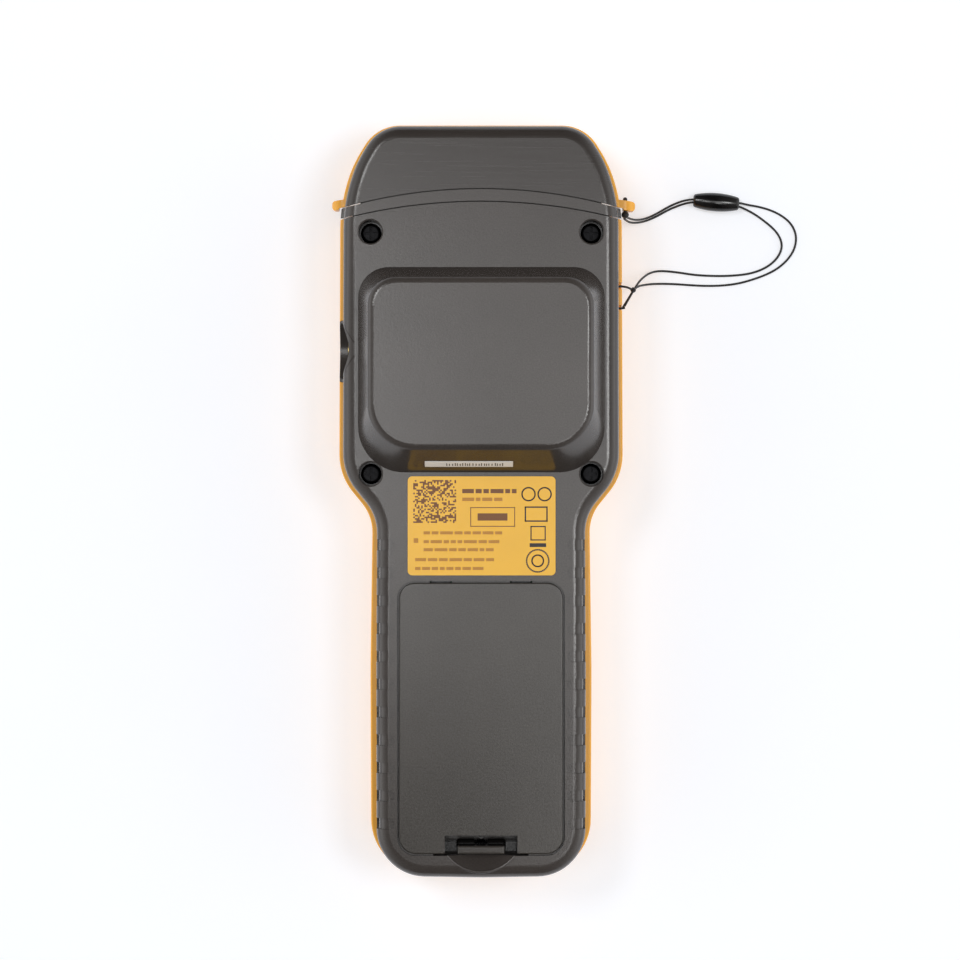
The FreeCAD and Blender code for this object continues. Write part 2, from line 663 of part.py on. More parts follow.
def key(name):
    stem = slab(key_outline(name, 0.0), (KEY_FACE_Z, KEY_FLANGE_Z[1]))
    stem = stem.makeFillet(0.3, flat_edges(stem, KEY_FACE_Z))
    return stem.fuse(slab(key_outline(name, KEY_FLANGE), KEY_FLANGE_Z)).removeSplitter()


def keypad_mat():
    return slab(rectangle(MAT, (2.0, 2.0)), MAT_Z)


# Electronics -----------------------------------------------------------------

def main_board():
    board = slab(rectangle(BOARD, (1.5, 1.5)), BOARD_Z)
    return board.cut([rod((x, y, 0), (x, y, 20), 1.0) for x, y in BOARD_SCREWS])


def board_chips():
    """Processor, screening can, memory, connector and crystal on the board's inner face."""
    top = BOARD_Z[1]
    return Part.makeCompound([
        box((-6.0, 6.0), (2.0, 14.0), (top, top + 1.4)),
        box((-12.0, 8.0), (44.0, 60.0), (top, top + 2.6)),
        box((-18.0, -12.0), (4.0, 9.0), (top, top + 1.0)),
        box((8.0, 16.0), (20.0, 25.0), (top, top + 4.5)),
        box((10.0, 15.0), (4.0, 6.5), (top, top + 1.6)),
        box((-20.0, -14.0), (-16.0, -8.0), (top, top + 3.0)),
    ])


def board_screws():
    screws = []
    for x, y in BOARD_SCREWS:
        head = rod((x, y, BOARD_Z[1]), (x, y, BOARD_Z[1] + 1.3), 1.9)
        screws.append(head.fuse(rod((x, y, FRONT_WALL), (x, y, BOARD_Z[1] + 0.1), 0.9)))
    return Part.makeCompound(screws)


def buzzer():
    """A piezo sounder on the main board."""
    can = rod((-14.0, 26.0, BOARD_Z[1]), (-14.0, 26.0, BOARD_Z[1] + 5.0), 6.0)
    return can.cut(rod((-14.0, 26.0, BOARD_Z[1] + 4.0), (-14.0, 26.0, BOARD_Z[1] + 6.0), 1.0))


def sensor_board():
    board = slab(rectangle(SENSOR_BOARD, (3.0, 3.0)), SENSOR_BOARD_Z)
    return board.cut([rod((x, y, 0), (x, y, FAR), 1.0) for x, y in SENSOR_POSTS])


def sensor_screws():
    screws = []
    low, high = SENSOR_BOARD_Z
    for x, y in SENSOR_POSTS:
        head = rod((x, y, low - 1.2), (x, y, low), 1.8)
        screws.append(head.fuse(rod((x, y, low - 0.1), (x, y, high + 3.5), 0.8)))
    return Part.makeCompound(screws)


def sensor_coil():
    """The flat sensing loops behind the sensing face."""
    x, y = -1.0, 35.5
    loops = []
    for half in (12.5, 10.0, 7.5):
        outer = slab(rectangle((x - half, x + half, y - half, y + half), (3.0, 3.0)), COIL_Z)
        hole = half - 1.5
        inner = slab(rectangle((x - hole, x + hole, y - hole, y + hole), (2.0, 2.0)),
                     (COIL_Z[0] - 1, COIL_Z[1] + 1))
        loops.append(outer.cut(inner))
    return Part.makeCompound(loops)


def sensor_foam():
    """The pad that presses the sensing loops against the housing."""
    return box((-18.0, 15.0), (23.0, 48.0), (SENSOR_BOARD_Z[1], COIL_Z[0]))


def sensor_ribbon():
    """The flat cable from the main board's connector up to the sensor board."""
    return box((8.5, 15.5), (21.8, 22.6), (BOARD_Z[1] + 4.5, SENSOR_BOARD_Z[0]))


# Probe port ------------------------------------------------------------------

def port_surround():
    """The cup round the probe port, flush with the case outside and flanged inside."""
    plug = rod((-FAR, PORT_Y, PORT_Z), (PORT_END_X, PORT_Y, PORT_Z), PORT_R - 0.1)
    plug = plug.common(LOWER.fuse(UPPER).removeSplitter())
    flange = rod((PORT_FLANGE_X[0], PORT_Y, PORT_Z), (PORT_FLANGE_X[1], PORT_Y, PORT_Z), 11.8)
    flange = flange.common(box((-FAR, FAR), (0, 100), (8.0, INNER_BACK_Z - 0.2)))
    cup = rod((-FAR, PORT_Y, PORT_Z), (PORT_CUP_FLOOR_X, PORT_Y, PORT_Z), PORT_CUP_R)
    hole = rod((-FAR, PORT_Y, PORT_Z), (0, PORT_Y, PORT_Z), 3.0)
    return plug.fuse(flange).cut([cup, hole]).removeSplitter()


def probe_socket():
    """The jack socket for an external probe."""
    barrel = rod((-35.0, PORT_Y, PORT_Z), (-20.0, PORT_Y, PORT_Z), 2.9)
    nut = rod((-32.15, PORT_Y, PORT_Z), (-30.4, PORT_Y, PORT_Z), 4.4)
    tail = box((-20.2, -16.0), (PORT_Y - 1.5, PORT_Y + 1.5), (PORT_Z - 0.4, PORT_Z + 0.4))
    bore = rod((-FAR, PORT_Y, PORT_Z), (-22.0, PORT_Y, PORT_Z), JACK_BORE_R)
    return barrel.fuse([nut, tail]).cut(bore).removeSplitter()


# Cords -----------------------------------------------------------------------

# Tether: both strands leave the knot on the cap's lug, run through the bead side by side,
# spread into two loops on the surface and climb into the lower notch beside the bar.
STRAND_OUTER = [
    (38.8, 75.95, 12.75), (39.9, 75.7, 9.8), (41.6, 75.6, 6.6), (43.6, 76.0, 3.5),
    (45.7, 76.8, 1.3), (48.0, 78.0, 0.4), (50.5, 79.5, 0.4), (52.9, 80.6, 0.9),
    (55.1, 81.3, 1.8), (57.6, 81.6, 2.35), (61.6, 81.25, 2.65), (65.6, 80.95, 2.65),
    (69.6, 80.65, 2.35), (72.3, 80.1, 1.4), (75.3, 79.7, 0.4), (78.5, 78.8, 0.35),
    (81.4, 77.4, 0.35), (83.9, 75.4, 0.35), (85.3, 72.8, 0.35), (85.5, 70.2, 0.35),
    (84.7, 67.5, 0.35), (82.9, 65.0, 0.35), (80.3, 62.8, 0.35), (77.2, 61.2, 0.35),
    (73.6, 59.9, 0.35), (69.6, 58.8, 0.35), (65.4, 58.3, 0.35), (61.2, 58.2, 0.35),
    (57.0, 58.4, 0.35), (53.0, 58.7, 0.35), (49.4, 58.8, 0.5), (46.5, 58.7, 1.4),
    (44.0, 58.3, 3.6), (42.1, 57.7, 7.0), (40.8, 56.4, 10.6), (39.5, 54.2, 13.2),
    (37.9, 51.7, 15.0)]
STRAND_INNER = [
    (38.3, 75.5, 12.9), (39.3, 74.9, 9.9), (40.9, 74.8, 6.7), (43.1, 75.2, 3.6),
    (45.4, 76.0, 1.3), (47.9, 77.2, 0.4), (50.5, 78.7, 0.4), (53.1, 79.8, 0.9),
    (55.4, 80.5, 1.8), (57.6, 80.85, 2.35), (61.6, 80.5, 2.65), (65.6, 80.2, 2.65),
    (69.4, 79.8, 2.25), (72.0, 78.8, 1.2), (74.5, 77.5, 0.4), (77.0, 75.7, 0.35),
    (79.5, 73.6, 0.35), (81.1, 71.4, 0.35), (81.7, 69.1, 0.35), (81.0, 66.7, 0.35),
    (79.1, 64.4, 0.35), (76.4, 62.7, 0.35), (73.2, 61.6, 0.35), (69.6, 61.1, 0.35),
    (65.8, 60.9, 0.35), (61.8, 60.95, 0.35), (57.8, 61.2, 0.35), (54.0, 61.8, 0.35),
    (50.6, 62.2, 0.5), (47.8, 62.2, 1.5), (45.5, 61.5, 3.9), (43.6, 60.1, 7.4),
    (42.0, 58.3, 10.8), (40.7, 56.1, 13.4), (39.5, 54.1, 15.0), (38.3, 52.0, 15.9)]
HITCH = [(38.4, 51.5, 15.2), (36.9, 51.3, 15.2), (35.1, 51.9, 15.2), (35.0, 54.4, 15.2),
         (35.1, 56.7, 15.2), (36.9, 57.3, 15.2), (38.9, 57.1, 14.7), (40.7, 56.4, 13.0)]
BATTERY_LEAD = [(-26.4, 20.0), (-21.0, 19.6), (-20.6, 8.05)]
BATTERY_LEAD_X = (-5.0, 5.0)
BATTERY_LEAD_R = 0.6


def tube(points, radius, name):
    """A round cord along straight runs joined by tangent arcs; prints how tight it bends."""
    route = [vec(*point) for point in points]
    edges = []
    start = route[0]
    tightest = FAR
    for before, corner, after in zip(route, route[1:], route[2:]):
        shorter = min((corner - before).Length, (after - corner).Length)
        half_turn = (corner - before).getAngle(after - corner) / 2
        arc_r = 0.45 * shorter / math.tan(half_turn)
        tightest = min(tightest, arc_r)
        arc_start, middle, arc_end = corner_arc(before, corner, after, arc_r)
        edges.append(Part.LineSegment(start, arc_start).toShape())
        edges.append(Part.Arc(arc_start, middle, arc_end).toShape())
        start = arc_end
    edges.append(Part.LineSegment(start, route[-1]).toShape())
    path = Part.Wire(edges)
    section = Part.Wire(Part.Circle(route[0], route[1] - route[0], radius).toShape())
    solid = path.makePipeShell([section], True, False)
    expected = math.pi * radius ** 2 * path.Length
    print(f"{name}: length {path.Length:.1f}, tightest radius {tightest:.2f}, "
          f"volume {solid.Volume:.2f} of {expected:.2f}")
    return solid


def tether_hitch():
    """The loop of cord round the bar in the case's lip, ending in the small knot it makes."""
    loop = tube(HITCH, CORD_R, "tether_hitch")
    return loop.fuse(Part.makeSphere(0.75, vec(*HITCH[-1])))


def tether_cap_knot():
    """The knot under the lug, its two strands through the eye, and the knot above the lug."""
    low_y, high_y = lug_y(EYE_X) - LUG_T / 2, lug_y(EYE_X) + LUG_T / 2
    under = Part.makeSphere(1.0, vec(EYE_X, low_y - 1.05, LUG_Z))
    over = Part.makeSphere(0.6, vec(EYE_X, high_y + 0.55, LUG_Z))
    stubs = [rod((EYE_X, low_y - 1.0, LUG_Z + dz), (EYE_X, high_y + 0.5, LUG_Z + dz), CORD_R)
             for dz in (-0.32, 0.32)]
    return under.fuse([over] + stubs).removeSplitter()


def tether_bead():
    """An oval bead with one flat hole that both strands pass through."""
    half, end_r = BEAD_LENGTH / 2, 1.65
    side = Part.Arc(vec(-half, end_r, 0), vec(0, BEAD_R, 0), vec(half, end_r, 0)).toShape()
    ends = [Part.LineSegment(vec(x, 0, 0), vec(x, end_r, 0)).toShape() for x in (-half, half)]
    axis = Part.LineSegment(vec(-half, 0, 0), vec(half, 0, 0)).toShape()
    profile = Part.Face(Part.Wire([axis, ends[0], side, ends[1]]))
    bead = profile.revolve(vec(0, 0, 0), vec(1, 0, 0), 360)
    bead = bead.makeFillet(0.7, [e for e in bead.Edges if e.BoundBox.XLength < 1e-6])
    bead = bead.cut(box((-half - 1, half + 1), (-0.95, 0.95), (-0.7, 0.55)))
    bead.rotate(vec(0, 0, 0), vec(0, 0, 1), BEAD_TILT)
    bead.translate(vec(*BEAD_CENTRE))
    return bead


def battery_leads():
    leads = [tube([(x, y, z) for y, z in BATTERY_LEAD], BATTERY_LEAD_R, "battery_leads")
             for x in BATTERY_LEAD_X]
    return Part.makeCompound(leads)


NODES = {
    "front_shell": front_shell,
    "back_shell": back_shell,
    "collar": collar,
    "nose_block": nose_block,
    "pin_left": lambda: measuring_pin(-1),
    "pin_right": lambda: measuring_pin(1),
    "pin_collets": pin_collets,
    "case_screws": case_screws,
    "rating_label": rating_label,
    "serial_sticker": serial_sticker,
    "cap_front": cap_front,
    "cap_back": cap_back,
    "battery_door": battery_door,
    "door_foam": door_foam,
    "latch_pin": latch_pin,
    "battery_latch": battery_latch,
    "latch_spring": latch_spring,
    "battery_cell_left": lambda: battery_cell(-1),
    "battery_cell_right": lambda: battery_cell(1),
    "contact_springs": contact_springs,
    "contact_plates": contact_plates,
    "battery_leads": battery_leads,
    "front_panel": front_panel,
    "display_window": display_window,
    "lcd_module": lcd_module,
    "lcd_frame": lcd_frame,
    "keypad_mat": keypad_mat,
    "main_board": main_board,
    "board_chips": board_chips,
    "board_screws": board_screws,
    "buzzer": buzzer,
    "sensor_board": sensor_board,
    "sensor_screws": sensor_screws,
    "sensor_coil": sensor_coil,
    "sensor_foam": sensor_foam,
    "sensor_ribbon": sensor_ribbon,
    "port_surround": port_surround,
    "probe_socket": probe_socket,
    "tether_hitch": tether_hitch,
    "tether_cap_knot": tether_cap_knot,
    "tether_bead": tether_bead,
    "tether_outer_strand": lambda: tube(STRAND_OUTER, CORD_R, "tether_outer_strand"),
    "tether_inner_strand": lambda: tube(STRAND_INNER, CORD_R, "tether_inner_strand"),
}
for key_name in list(ROUND_KEYS) + list(PAD_KEYS):
    NODES[key_name] = lambda name=key_name: key(name)

os.makedirs("parts", exist_ok=True)
for node, make in NODES.items():
    shape = make()
    bounds = shape.BoundBox
    print(f"{node}: solids {len(shape.Solids)}, valid {shape.isValid()}, "
          f"volume {shape.Volume:.1f}, x {bounds.XMin:.1f} {bounds.XMax:.1f}, "
          f"y {bounds.YMin:.1f} {bounds.YMax:.1f}, z {bounds.ZMin:.2f} {bounds.ZMax:.2f}")
    shape.exportStep(os.path.join("parts", node + ".step"))
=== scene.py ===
import json
import math
import random

import bmesh
import bpy
from mathutils import Matrix, Vector


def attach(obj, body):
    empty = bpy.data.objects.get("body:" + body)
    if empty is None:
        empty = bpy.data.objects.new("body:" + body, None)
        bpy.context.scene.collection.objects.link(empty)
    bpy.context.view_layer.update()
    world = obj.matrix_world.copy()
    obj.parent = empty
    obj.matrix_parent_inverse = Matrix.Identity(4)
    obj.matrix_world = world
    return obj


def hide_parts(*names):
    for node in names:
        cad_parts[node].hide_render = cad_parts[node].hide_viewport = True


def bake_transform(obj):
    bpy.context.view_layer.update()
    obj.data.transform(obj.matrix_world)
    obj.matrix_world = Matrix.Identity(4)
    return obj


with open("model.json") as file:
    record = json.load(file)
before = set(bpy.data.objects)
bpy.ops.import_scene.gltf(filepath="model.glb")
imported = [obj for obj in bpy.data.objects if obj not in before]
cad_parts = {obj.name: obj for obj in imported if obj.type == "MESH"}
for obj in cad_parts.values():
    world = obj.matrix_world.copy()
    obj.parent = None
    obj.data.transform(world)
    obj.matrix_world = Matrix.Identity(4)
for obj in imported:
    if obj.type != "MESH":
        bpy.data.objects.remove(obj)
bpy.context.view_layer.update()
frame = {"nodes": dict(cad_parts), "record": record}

MM = 0.001
WHITE = (1.0, 1.0, 1.0, 1.0)


def mm(*values):
    """A point given in millimetres."""
    return Vector(values) * MM


def srgb(red, green, blue):
    """An 8-bit display colour as Blender's linear colour."""
    def channel(value):
        value /= 255
        return value / 12.92 if value <= 0.04045 else ((value + 0.055) / 1.055) ** 2.4
    return channel(red), channel(green), channel(blue), 1.0


def shade(colour, factor):
    """A colour made darker or lighter by a factor."""
    return tuple(c * factor for c in colour[:3]) + (1.0,)


# Materials ------------------------------------------------------------------

class Tree:
    """Short ways to add nodes to a node tree and to join them."""

    def __init__(self, tree):
        self.tree = tree

    def add(self, kind, **settings):
        node = self.tree.nodes.new(kind)
        for key, value in settings.items():
            if key in node.inputs:
                node.inputs[key].default_value = value
            else:
                setattr(node, key, value)
        return node

    def link(self, output, target):
        self.tree.links.new(output, target)

    def axes(self, vector):
        """The X, Y and Z of a vector, as outputs found by name."""
        node = self.add("ShaderNodeSeparateXYZ")
        self.link(vector, node.inputs["Vector"])
        return node.outputs

    def combine(self, operation, first, second):
        """Two numbers or outputs combined by a mathematical operation."""
        node = self.add("ShaderNodeMath", operation=operation)
        for socket, value in zip(node.inputs, (first, second)):
            if isinstance(value, (int, float)):
                socket.default_value = value
            else:
                self.link(value, socket)
        return node.outputs["Value"]

    def distance(self, value, middle):
        """How far a value is from a middle one, on either side."""
        return self.combine("ABSOLUTE", self.combine("SUBTRACT", value, middle), 0.0)


class Nodes(Tree):
    """A new material, with short ways to build its looks."""

    def __init__(self, name):
        self.material = bpy.data.materials.new(name)
        self.material.use_nodes = True
        super().__init__(self.material.node_tree)
        self.shader = self.tree.nodes["Principled BSDF"]
        self.position = self.add("ShaderNodeTexCoord").outputs["Object"]

    def noise(self, scale_mm, detail=2.0, roughness=0.5, stretch=None):
        """Noise whose features are about scale_mm across."""
        node = self.add("ShaderNodeTexNoise", Scale=1.0 / (scale_mm * MM), Detail=detail,
                        Roughness=roughness)
        self.link(self.stretched(stretch), node.inputs["Vector"])
        return node.outputs["Fac"]

    def stretched(self, stretch):
        """The position, scaled along each axis so that a pattern is drawn out."""
        if stretch is None:
            return self.position
        mapping = self.add("ShaderNodeMapping")
        mapping.inputs["Scale"].default_value = stretch
        self.link(self.position, mapping.inputs["Vector"])
        return mapping.outputs["Vector"]

    def cells(self, scale_mm):
        """Distance to the nearest of many scattered points, for pitted and sparked surfaces."""
        node = self.add("ShaderNodeTexVoronoi", Scale=1.0 / (scale_mm * MM))
        self.link(self.position, node.inputs["Vector"])
        return node.outputs["Distance"]

    def spread(self, value, low, high, out_low=0.0, out_high=1.0):
        """A value carried from the range low to high into the range out_low to out_high."""
        node = self.add("ShaderNodeMapRange")
        for socket, amount in zip(("From Min", "From Max", "To Min", "To Max"),
                                  (low, high, out_low, out_high)):
            node.inputs[socket].default_value = amount
        self.link(value, node.inputs["Value"])
        return node.outputs["Result"]

    def mix(self, factor, first, second):
        """A colour between two others."""
        node = self.add("ShaderNodeMix", data_type="RGBA")
        self.link(factor, node.inputs["Factor"])
        for socket, value in zip((node.inputs[6], node.inputs[7]), (first, second)):
            if isinstance(value, tuple):
                socket.default_value = value
            else:
                self.link(value, socket)
        return node.outputs[2]

    def colour(self, output):
        self.link(output, self.shader.inputs["Base Color"])

    def roughness(self, output):
        self.link(output, self.shader.inputs["Roughness"])

    def bump(self, height, depth_mm):
        """Relief of this depth, on top of any relief the material already has."""
        previous = self.shader.inputs["Normal"].links
        node = self.add("ShaderNodeBump", Strength=1.0, Distance=depth_mm * MM)
        if previous:
            self.link(previous[0].from_socket, node.inputs["Normal"])
        self.link(height, node.inputs["Height"])
        self.link(node.outputs["Normal"], self.shader.inputs["Normal"])

    def set(self, **values):
        for key, value in values.items():
            self.shader.inputs[key.replace("_", " ")].default_value = value
        return self


def sparked_plastic(name, colour, rough, grain_mm, depth_mm, variation=0.08):
    """Moulded plastic with the fine pitting that a spark-eroded mould leaves."""
    n = Nodes(name)
    grain = n.noise(grain_mm, 3.0, 0.65)
    pits = n.cells(grain_mm * 1.6)
    cloud = n.noise(26.0, 2.0, 0.5)
    tone = n.combine("ADD", n.combine("MULTIPLY", grain, 0.6), n.combine("MULTIPLY", cloud, 0.4))
    n.tone = n.mix(n.spread(tone, 0.3, 0.7), shade(colour, 1 - variation), shade(colour, 1 + variation))
    n.colour(n.tone)
    n.roughness(n.spread(grain, 0.3, 0.7, rough - 0.06, rough + 0.06))
    n.bump(n.combine("ADD", grain, n.combine("MULTIPLY", pits, 0.5)), depth_mm)
    return n


def yellow_plastic():
    return sparked_plastic("amber_plastic", srgb(252, 178, 50), rough=0.32, grain_mm=0.5,
                           depth_mm=0.008, variation=0.05).material


GROOVE_FOOT_Z = 28.0 * MM
GROOVE_INNER_X = 25.6 * MM
DOOR_INSIDE_Z = (32.8 * MM, 30.6 * MM)


def grey_plastic():
    """The case's grained plastic, with painted shade in the feet of the grip grooves."""
    n = sparked_plastic("grey_plastic", srgb(65, 60, 57), rough=0.2, grain_mm=0.4,
                        depth_mm=0.012, variation=0.22)
    place = n.axes(n.position)
    at_foot = n.combine("LESS_THAN", n.distance(place["Z"], GROOVE_FOOT_Z), 0.2 * MM)
    outside = n.combine("GREATER_THAN", n.distance(place["X"], 0.0), GROOVE_INNER_X)
    # Painted shade: the feet of the grip grooves are coloured dark where their shadow falls.
    foot = n.combine("MULTIPLY", at_foot, outside)
    n.colour(n.mix(foot, n.tone, srgb(30, 27, 25)))
    return n.material


def door_plastic():
    """The door's grained plastic, with painted shade that makes it darker towards the inside."""
    n = sparked_plastic("door_plastic", srgb(62, 58, 54), rough=0.2, grain_mm=0.4,
                        depth_mm=0.012, variation=0.22)
    # Painted shade: below the back face the door's colour goes dark, standing in for the shadow deep
    # inside the door.
    painted_inside_shade = n.spread(n.axes(n.position)["Z"], *DOOR_INSIDE_Z)
    n.colour(n.mix(painted_inside_shade, n.tone, srgb(18, 17, 16)))
    return n.material


def cap_plastic():
    """Smoother plastic with fine wiping marks from side to side."""
    n = sparked_plastic("cap_plastic", srgb(55, 50, 47), rough=0.22, grain_mm=0.3, depth_mm=0.002)
    scratches = n.noise(3.0, 4.0, 0.7, stretch=(0.15, 6.0, 1.0))
    n.roughness(n.spread(scratches, 0.35, 0.7, 0.2, 0.3))
    n.bump(n.spread(scratches, 0.55, 0.7), 0.002)
    return n.material


def trim_plastic():
    return sparked_plastic("trim_plastic", srgb(65, 60, 57), rough=0.22, grain_mm=0.35,
                           depth_mm=0.004, variation=0.1).material


def black_plastic():
    return sparked_plastic("black_plastic", srgb(34, 33, 33), rough=0.42, grain_mm=0.3,
                           depth_mm=0.01, variation=0.1).material


def metal(name, colour, rough, scale_mm, stretch=(1.0, 1.0, 1.0)):
    """Turned or drawn metal with fine marks."""
    n = Nodes(name)
    marks = n.noise(scale_mm, 3.0, 0.6, stretch)
    patina = n.noise(4.0, 2.0, 0.5)
    n.colour(n.mix(n.spread(patina, 0.35, 0.65), shade(colour, 0.85), colour))
    n.roughness(n.spread(marks, 0.3, 0.7, rough - 0.08, rough + 0.08))
    n.bump(marks, 0.003)
    n.set(Metallic=1.0)
    return n.material


def glossy_black():
    n = Nodes("glossy_black")
    smear = n.noise(2.5, 2.0, 0.5)
    n.colour(n.mix(n.spread(smear, 0.3, 0.7), srgb(16, 15, 15), srgb(26, 24, 24)))
    n.roughness(n.spread(smear, 0.3, 0.7, 0.14, 0.24))
    n.bump(n.noise(0.8), 0.004)
    return n.material


def braided_cord():
    """Thin black cord with a fine braid."""
    n = Nodes("braided_cord")
    braid = n.cells(0.16)
    n.colour(n.mix(n.spread(braid, 0.1, 0.7), srgb(8, 8, 8), srgb(24, 22, 23)))
    n.roughness(n.spread(braid, 0.1, 0.7, 0.5, 0.7))
    n.bump(braid, 0.03)
    n.set(Sheen_Weight=0.2)
    return n.material


def printed_stock(name, colour, rough):
    """Label stock: a printed film over slightly uneven adhesive."""
    n = Nodes(name)
    wave = n.noise(7.0, 2.0, 0.5)
    fibre = n.noise(0.35, 2.0, 0.5)
    n.colour(n.mix(n.spread(wave, 0.3, 0.7), colour, shade(colour, 0.96)))
    n.roughness(n.spread(fibre, 0.3, 0.7, rough - 0.05, rough + 0.05))
    n.bump(wave, 0.02)
    n.bump(fibre, 0.003)
    return n.material


def ink(name, colour):
    """Printing ink, slightly speckled."""
    n = Nodes(name)
    speck = n.noise(0.25, 2.0, 0.5)
    n.colour(n.mix(n.spread(speck, 0.3, 0.7), colour, shade(colour, 1.25)))
    n.roughness(n.spread(speck, 0.3, 0.7, 0.45, 0.6))
    return n.material


def panel_film():
    """The black printed overlay of the display side."""
    n = Nodes("panel_film")
    grain = n.noise(0.25, 2.0, 0.6)
    n.colour(n.mix(n.noise(14.0), srgb(24, 24, 26), srgb(30, 30, 32)))
    n.roughness(n.spread(grain, 0.3, 0.7, 0.32, 0.42))
    n.bump(grain, 0.004)
    return n.material


def clear_window():
    n = Nodes("clear_window")
    smear = n.noise(9.0, 2.0, 0.5)
    n.colour(n.mix(n.spread(smear, 0.3, 0.7), srgb(240, 244, 242), srgb(228, 236, 232)))
    n.roughness(n.spread(smear, 0.3, 0.7, 0.04, 0.1))
    n.set(Transmission_Weight=0.92, IOR=1.49)
    return n.material


def display_glass():
    n = Nodes("display_glass")
    rows = n.noise(0.8, 1.0, 0.5, stretch=(1.0, 4.0, 1.0))
    n.colour(n.mix(n.spread(rows, 0.3, 0.7), srgb(146, 158, 142), srgb(154, 166, 150)))
    n.roughness(n.spread(rows, 0.3, 0.7, 0.16, 0.24))
    return n.material


def soft_rubber(name, colour, rough=0.6):
    """Moulded rubber or soft plastic with a dull, cloudy surface."""
    n = Nodes(name)
    grain = n.noise(0.3, 3.0, 0.6)
    cloud = n.noise(5.0)
    n.colour(n.mix(n.spread(cloud, 0.3, 0.7), colour, shade(colour, 0.9)))
    n.roughness(n.spread(grain, 0.3, 0.7, rough - 0.06, rough + 0.06))
    n.bump(grain, 0.01)
    return n.material


def circuit_board():
    """Green solder mask over a hatch of tracks."""
    n = Nodes("circuit_board")
    tracks = n.cells(1.7)
    n.colour(n.mix(n.spread(tracks, 0.25, 0.3), srgb(22, 92, 48), srgb(14, 66, 36)))
    n.roughness(n.spread(tracks, 0.2, 0.5, 0.3, 0.42))
    n.bump(n.spread(tracks, 0.25, 0.3), 0.03)
    return n.material


def foam():
    n = Nodes("foam")
    cells = n.cells(0.7)
    n.colour(n.mix(n.spread(cells, 0.1, 0.6), srgb(26, 26, 27), srgb(58, 58, 60)))
    n.roughness(n.spread(cells, 0.1, 0.6, 0.85, 0.98))
    n.bump(cells, 0.25)
    return n.material


CELL_BAND_Y = (-43.5 * MM, -43.4 * MM)


def cell_sleeve():
    """The printed sleeve of an AA cell: dark with a copper-coloured band at one end."""
    n = Nodes("cell_sleeve")
    band = n.spread(n.axes(n.position)["Y"], *CELL_BAND_Y)
    n.colour(n.mix(band, srgb(34, 38, 44), srgb(176, 112, 56)))
    n.roughness(n.spread(n.noise(3.0), 0.3, 0.7, 0.22, 0.3))
    n.bump(n.noise(6.0), 0.02)
    n.set(Metallic=0.35)
    return n.material


MATERIALS = {
    "yellow_shell": yellow_plastic(),
    "grey_shell": grey_plastic(),
    "cap_grey": cap_plastic(),
    "dark_trim": trim_plastic(),
    "black_plastic": black_plastic(),
    "steel": metal("bright_steel", srgb(205, 205, 208), 0.28, 0.3, (1.0, 0.1, 1.0)),
    "black_steel": metal("black_steel", srgb(24, 24, 25), 0.34, 0.4),
    "brass": metal("plated_brass", srgb(214, 184, 112), 0.3, 0.25),
    "label_yellow": printed_stock("label_film", srgb(240, 182, 32), 0.22),
    "label_white": printed_stock("white_film", srgb(236, 234, 230), 0.45),
    "cell_wrap": cell_sleeve(),
    "wire_red": soft_rubber("wire_insulation", srgb(168, 34, 28), 0.45),
    "panel_black": panel_film(),
    "window_glass": clear_window(),
    "lcd": display_glass(),
    "silicone": soft_rubber("silicone", srgb(120, 122, 124)),
    "circuit_board": circuit_board(),
    "copper": metal("tinned_copper", srgb(214, 148, 98), 0.35, 0.3),
    "foam": foam(),
    "ribbon": soft_rubber("ribbon_cable", srgb(196, 196, 202), 0.4),
    "cord": braided_cord(),
    "bead": glossy_black(),
    "key_rubber": soft_rubber("key_rubber", srgb(196, 197, 199), 0.5),
}

SPECIAL = {"battery_door": door_plastic(), "battery_latch": door_plastic()}

for row in frame["record"]["subparts"]:
    mesh = frame["nodes"][row["node"]].data
    mesh.materials.clear()
    mesh.materials.append(SPECIAL.get(row["node"], MATERIALS[row["material_slot"]]))


# Mesh helpers ----------------------------------------------------------------

def new_object(name, mesh, material, body=None):
    """A mesh placed in the scene, riding a body and filling a slot where they are given."""
    thing = bpy.data.objects.new(name, mesh)
    bpy.context.scene.collection.objects.link(thing)
    mesh.materials.append(material)
    if body:
        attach(thing, body)
    return thing


def smooth(mesh):
    for polygon in mesh.polygons:
        polygon.use_smooth = True


def route_points(name, points, resolution=12):
    """Points along the NURBS line that a cord's route controls."""
    curve = bpy.data.curves.new(name + "_line", "CURVE")
    curve.dimensions = "3D"
    spline = curve.splines.new("NURBS")
    spline.points.add(len(points) - 1)
    for point, place in zip(spline.points, points):
        point.co = (*mm(*place), 1.0)
    spline.order_u = 3
    spline.use_endpoint_u = True
    spline.resolution_u = resolution
    line = bpy.data.objects.new(name + "_line", curve)
    bpy.context.scene.collection.objects.link(line)
    bpy.context.view_layer.update()
    mesh = bpy.data.meshes.new_from_object(line)
    found = [vertex.co.copy() for vertex in mesh.vertices]
    bpy.data.objects.remove(line)
    bpy.data.curves.remove(curve)
    bpy.data.meshes.remove(mesh)
    return found


def tube_mesh(name, path, radius, sides=10):
    """A closed round tube along a path."""
    work = bmesh.new()
    across = Vector((0, 0, 1))
    rings = []
    for i, point in enumerate(path):
        ahead = path[min(i + 1, len(path) - 1)] - path[max(i - 1, 0)]
        ahead.normalize()
        across = (across - ahead * across.dot(ahead)).normalized()
        other = ahead.cross(across)
        angles = [2 * math.pi * k / sides for k in range(sides)]
        rings.append([work.verts.new(point + radius * (math.cos(a) * across + math.sin(a) * other))
                      for a in angles])
    for first, second in zip(rings, rings[1:]):
        for k in range(sides):
            after = (k + 1) % sides
            work.faces.new((first[k], first[after], second[after], second[k]))
    work.faces.new(list(reversed(rings[0])))
    work.faces.new(rings[-1])
    bmesh.ops.recalc_face_normals(work, faces=work.faces)
    mesh = bpy.data.meshes.new(name)
    work.to_mesh(mesh)
    work.free()
    smooth(mesh)
    return mesh


# Tether ------------------------------------------------------------------------

